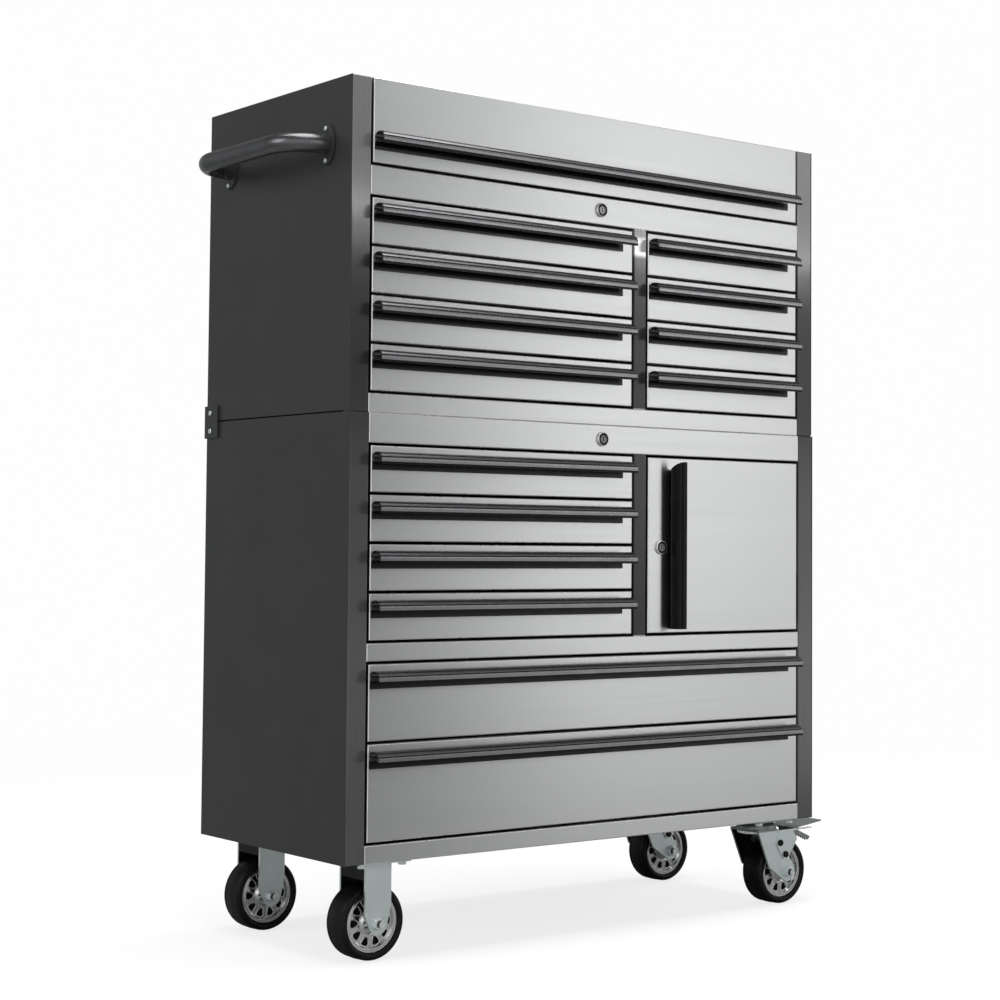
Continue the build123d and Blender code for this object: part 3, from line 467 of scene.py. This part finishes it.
def finish_brackets():
    centres = [wheel_centre(end, "left") for end in ("front", "rear")]

    def choose(point, normal):
        centre = min(centres, key=lambda c: abs(c.y - point.y))
        return leg_finish(point, normal, centre)

    finish("rigid_caster_brackets", ZINC, BLACK_AND_PAINTED_SHADE, PALE_ZINC_AND_PAINTED_HIGHLIGHT, choose=choose)


def finish_fork(end):
    centre = wheel_centre(end, "right")
    rivets = [(centre.x - TRAIL + back, UNDER - drop) for back, drop in RIVETS]

    def choose(point, normal):
        proud = abs(point.y - centre.y) > CHEEK_FACE
        if proud and any(math.hypot(point.x - x, point.z - z) < RIVET_R for x, z in rivets):
            return 1
        if point.z > UNDER - CROWN_DROP:
            return 3
        return leg_finish(point, normal, centre)

    finish(f"{end}_swivel_fork", ZINC, BLACK_AND_PAINTED_SHADE, PALE_ZINC_AND_PAINTED_HIGHLIGHT, DULL_ZINC, choose=choose)


def add_piece(name, mesh, body, material):
    """Turns finished mesh data into a piece that rides on a body."""
    data = bpy.data.meshes.new(name)
    mesh.to_mesh(data)
    mesh.free()
    data.materials.append(material)
    piece = bpy.data.objects.new(name, data)
    bpy.context.scene.collection.objects.link(piece)
    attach(piece, body)
    return piece


def rounded(points, passes=2):
    """Corner cutting on a closed outline."""
    for _ in range(passes):
        cut = []
        for a, b in zip(points, points[1:] + points[:1]):
            cut += [a.lerp(b, CORNER_CUT), a.lerp(b, 1 - CORNER_CUT)]
        points = cut
    return points


def bead(mesh, points, normal, radius, sides=6):
    """Adds a round bead along a closed line."""
    rings = []
    for before, here, after in zip(points[-1:] + points[:-1], points, points[1:] + points[:1]):
        across = (after - before).cross(normal).normalized()
        ring = []
        for k in range(sides):
            turn = 2 * math.pi * k / sides
            ring.append(mesh.verts.new(here + radius * (math.cos(turn) * normal + math.sin(turn) * across)))
        rings.append(ring)
    for ring, following in zip(rings, rings[1:] + rings[:1]):
        for k in range(sides):
            face = mesh.faces.new((ring[k], ring[k - 1], following[k - 1], following[k]))
            face.smooth = True


def circle(count):
    return [2 * math.pi * k / count for k in range(count)]


def around_wheel(centre, radius, depth, count):
    return [centre + Vector((radius * math.cos(a), depth, radius * math.sin(a))) for a in circle(count)]


def joined(mesh, loops):
    """Bridges closed loops of vertices in turn, the last to the first."""
    for loop, following in zip(loops, loops[1:] + loops[:1]):
        for k in range(len(loop)):
            mesh.faces.new((loop[k], loop[k - 1], following[k - 1], following[k]))
    bmesh.ops.recalc_face_normals(mesh, faces=mesh.faces)


def add_wheel_trim(end, side):
    """Raised beads around the windows and at the rim of both faces, in pale steel that paints their
    highlight, and the dark web between the faces.
    """
    centre = wheel_centre(end, side)
    body = f"{end}_{side}_wheel"
    trim = bmesh.new()
    for face in (-1, 1):
        normal = Vector((0, face, 0))
        for n in range(WINDOW_COUNT):
            turn = Matrix.Rotation(2 * math.pi * n / WINDOW_COUNT, 3, "Y")
            outline = []
            for radius, half in WINDOW:
                depth = DISH_DEPTH - (radius - DISH_R) / DISH_SLOPE
                outline.append(centre + turn @ Vector((radius, face * depth, half)))
            bead(trim, rounded(outline), normal, WINDOW_BEAD)
        for radius, depth, thick in RINGS:
            bead(trim, around_wheel(centre, radius, face * depth, RING_STEPS), normal, thick)
    add_piece(f"{end}_{side}_wheel_beads", trim, body, PALE_STEEL_AND_PAINTED_HIGHLIGHT)
    web = bmesh.new()
    corners = ((WEB_R[0], WEB_HALF), (WEB_R[1], WEB_HALF), (WEB_R[1], -WEB_HALF), (WEB_R[0], -WEB_HALF))
    joined(web, [[web.verts.new(p) for p in around_wheel(centre, *corner, WEB_STEPS)] for corner in corners])
    add_piece(f"{end}_{side}_wheel_web", web, body, BLACK_AND_PAINTED_SHADE)


def extruded(outline, y0, y1):
    """A plate between two depths from an X-Z outline, with softened edges."""
    mesh = bmesh.new()
    low = [mesh.verts.new((x, y0, z)) for x, z in outline]
    high = [mesh.verts.new((x, y1, z)) for x, z in outline]
    mesh.faces.new(low)
    mesh.faces.new(high[::-1])
    for k in range(len(low)):
        mesh.faces.new((low[k - 1], low[k], high[k], high[k - 1]))
    bmesh.ops.recalc_face_normals(mesh, faces=mesh.faces)
    edges = list(mesh.edges)
    bmesh.ops.bevel(mesh, geom=edges, offset=PLATE_EDGE, segments=2, affect="EDGES", clamp_overlap=True)
    return mesh


def add_fork_details(end):
    """Toothed ring under the crown and the flanges turned out along the top of the brake cheeks, in pale
    zinc; on the flanges the paleness is a painted highlight of their lit top edge.
    """
    centre = wheel_centre(end, "right")
    pivot = centre.x - TRAIL
    body = f"{end}_swivel"
    ring = bmesh.new()
    loops = []
    for radius, drop in TOOTH_RING:
        loop = []
        for k, a in enumerate(circle(TEETH * 4)):
            reach = radius + (TOOTH_H if radius > TOOTH_ROOT and k % 4 < 2 else 0.0)
            place = (pivot + reach * math.cos(a), centre.y + reach * math.sin(a), UNDER + drop)
            loop.append(ring.verts.new(place))
        loops.append(loop)
    joined(ring, loops)
    add_piece(f"{end}_swivel_teeth", ring, body, PALE_ZINC_AND_PAINTED_HIGHLIGHT)
    outline = [(pivot + back, UNDER + drop) for back, drop in CHEEK_EDGE]
    for side in (-1, 1):
        ends = sorted(centre.y + side * depth for depth in CHEEK_EDGE_Y)
        name = f"{end}_cheek_flange_{'front' if side < 0 else 'rear'}"
        add_piece(name, extruded(outline, *ends), body, PALE_ZINC_AND_PAINTED_HIGHLIGHT)


# ------------------------------------------------------------------ studio
def add_floor():
    """A pale disc that fades into the background; in reflections it is dimmer, palest at its left."""
    disc = bmesh.new()
    bmesh.ops.create_circle(disc, cap_ends=True, segments=96, radius=FLOOR_RADIUS)
    mesh = bpy.data.meshes.new("studio_floor")
    disc.to_mesh(mesh)
    disc.free()
    floor = bpy.data.objects.new("studio_floor", mesh)
    bpy.context.scene.collection.objects.link(floor)
    s = Shader("studio_floor", Roughness=0.8)
    place = s.node("SeparateXYZ", {0: s.coords}).outputs["X"]
    span = {"Value": place, "From Min": -0.9, "From Max": 0.2, "To Min": 0.50, "To Max": 0.30}
    s.set("Base Color", s.node("MapRange", span).outputs[0])
    pale = s.node("BsdfDiffuse", {"Color": (0.34, 0.34, 0.34, 1)})
    glow = s.node("Emission", {"Color": (1, 1, 1, 1), "Strength": 0.78})
    lifted = s.node("AddShader", {0: pale.outputs[0], 1: glow.outputs[0]})
    seen = s.node("LightPath").outputs["Is Camera Ray"]
    surface = s.node("MixShader", {0: seen, 1: s.bsdf.outputs[0], 2: lifted.outputs[0]})
    reach = s.node("VectorMath", {0: s.coords}, operation="LENGTH").outputs["Value"]
    edge = {"Value": reach, "From Min": 1.3, "From Max": FLOOR_RADIUS * 0.92}
    fade = s.node("MapRange", edge, interpolation_type="SMOOTHERSTEP")
    clear = s.node("BsdfTransparent")
    soft = s.node("MixShader", {0: fade.outputs[0], 1: surface.outputs[0], 2: clear.outputs[0]})
    s.tree.links.new(soft.outputs[0], s.tree.nodes["Material Output"].inputs["Surface"])
    floor.data.materials.append(s.mat)


def add_world():
    """Pale to the eye. To the object, a studio lit softly in front, most on its right, and overhead."""
    world = bpy.data.worlds.new("studio")
    world.use_nodes = True
    bpy.context.scene.world = world
    tree = world.node_tree
    nodes, links = tree.nodes, tree.links

    def node(kind, **settings):
        made = nodes.new("ShaderNode" + kind)
        for key, value in settings.items():
            setattr(made, key, value)
        return made

    def ramp(angle, low, high, stops):
        """A smooth level by angle in degrees; angle is a socket in radians."""
        scaled = node("MapRange")
        scaled.inputs["From Min"].default_value = math.radians(low)
        scaled.inputs["From Max"].default_value = math.radians(high)
        links.new(angle, scaled.inputs["Value"])
        made = node("ValToRGB")
        made.color_ramp.interpolation = "EASE"
        elements = made.color_ramp.elements
        while len(elements) < len(stops):
            elements.new(0.5)
        for element, (place, level) in zip(elements, stops):
            element.position = (place - low) / (high - low)
            element.color = (level * 0.97, level, level, 1) if level < 0.6 else (level, level, level, 1)
        links.new(scaled.outputs[0], made.inputs["Fac"])
        return made.outputs["Color"]

    def blend(kind, a, b):
        made = node("Mix", data_type="RGBA", blend_type=kind)
        made.inputs[0].default_value = 1.0
        links.new(a, made.inputs[6])
        links.new(b, made.inputs[7])
        return made.outputs[2]

    split = node("SeparateXYZ")
    links.new(node("TexCoord").outputs["Generated"], split.inputs[0])
    back = node("Math", operation="MULTIPLY")
    links.new(split.outputs["Y"], back.inputs[0])
    back.inputs[1].default_value = -1.0
    turn = node("Math", operation="ARCTAN2")
    links.new(split.outputs["X"], turn.inputs[0])
    links.new(back.outputs[0], turn.inputs[1])
    rise = node("Math", operation="ARCSINE")
    links.new(split.outputs["Z"], rise.inputs[0])

    around = ramp(turn.outputs[0], -180, 180, AROUND)
    height = ramp(rise.outputs[0], -90, 90, HEIGHT)
    overhead = ramp(rise.outputs[0], -90, 90, OVERHEAD)
    light = blend("ADD", blend("MULTIPLY", around, height), overhead)
    seen = node("Mix", data_type="RGBA")
    links.new(node("LightPath").outputs["Is Camera Ray"], seen.inputs[0])
    links.new(light, seen.inputs[6])
    seen.inputs[7].default_value = (0.99, 0.99, 0.99, 1)
    links.new(seen.outputs[2], nodes["Background"].inputs["Color"])


def add_area(name, place, target, size, power, spread=180):
    light = bpy.data.lights.new(name, "AREA")
    light.shape = "RECTANGLE"
    light.size, light.size_y = size
    light.energy = power
    light.spread = math.radians(spread)
    lamp = bpy.data.objects.new(name, light)
    lamp.location = place
    aim = Vector(target) - Vector(place)
    lamp.rotation_euler = aim.to_track_quat("-Z", "Y").to_euler()
    lamp.visible_camera = False
    bpy.context.scene.collection.objects.link(lamp)


def add_lights():
    front = LOW_CORNER.y
    centre = (0, 0, 0.8)
    add_area("strip_front", (1.6, front - 3.0, 1.77), (1.6, front, 1.2), (5.0, 0.07), 9)
    add_area("overhead", (0.0, -0.3, 3.4), (0, 0, 0), (2.6, 2.0), 70)
    add_area("side_left", (-3.4, 0.2, 2.2), centre, (1.6, 1.6), 22)
    add_area("side_right", (3.4, 0.4, 2.0), centre, (1.6, 1.6), 18)


def add_camera():
    """The viewpoint: left of the front, a little below mid height."""
    yaw, pitch, roll = (math.radians(angle) for angle in (CAMERA_YAW, CAMERA_PITCH, CAMERA_ROLL))
    across = Vector((math.cos(yaw), math.sin(yaw), 0))
    ahead = Vector((-math.sin(yaw), math.cos(yaw), 0))
    up = Vector((0, 0, 1))
    forward = ahead * math.cos(pitch) + up * math.sin(pitch)
    rise = up * math.cos(pitch) - ahead * math.sin(pitch)
    right = across * math.cos(roll) + rise * math.sin(roll)
    top = rise * math.cos(roll) - across * math.sin(roll)
    data = bpy.data.cameras.new("camera")
    data.sensor_width = 36
    data.lens = CAMERA_LENS
    data.shift_y = CAMERA_SHIFT
    camera = bpy.data.objects.new("camera", data)
    turn = Matrix((right, top, -forward)).transposed()
    camera.matrix_world = Matrix.Translation(LOW_CORNER + CAMERA_FROM_CORNER) @ turn.to_4x4()
    bpy.context.scene.collection.objects.link(camera)
    bpy.context.scene.camera = camera


finish_parts()
for end in ("front", "rear"):
    add_fork_details(end)
    for side in ("left", "right"):
        add_wheel_trim(end, side)
add_floor()
add_world()
add_lights()
add_camera()
bpy.context.scene.view_settings.view_transform = "Standard"
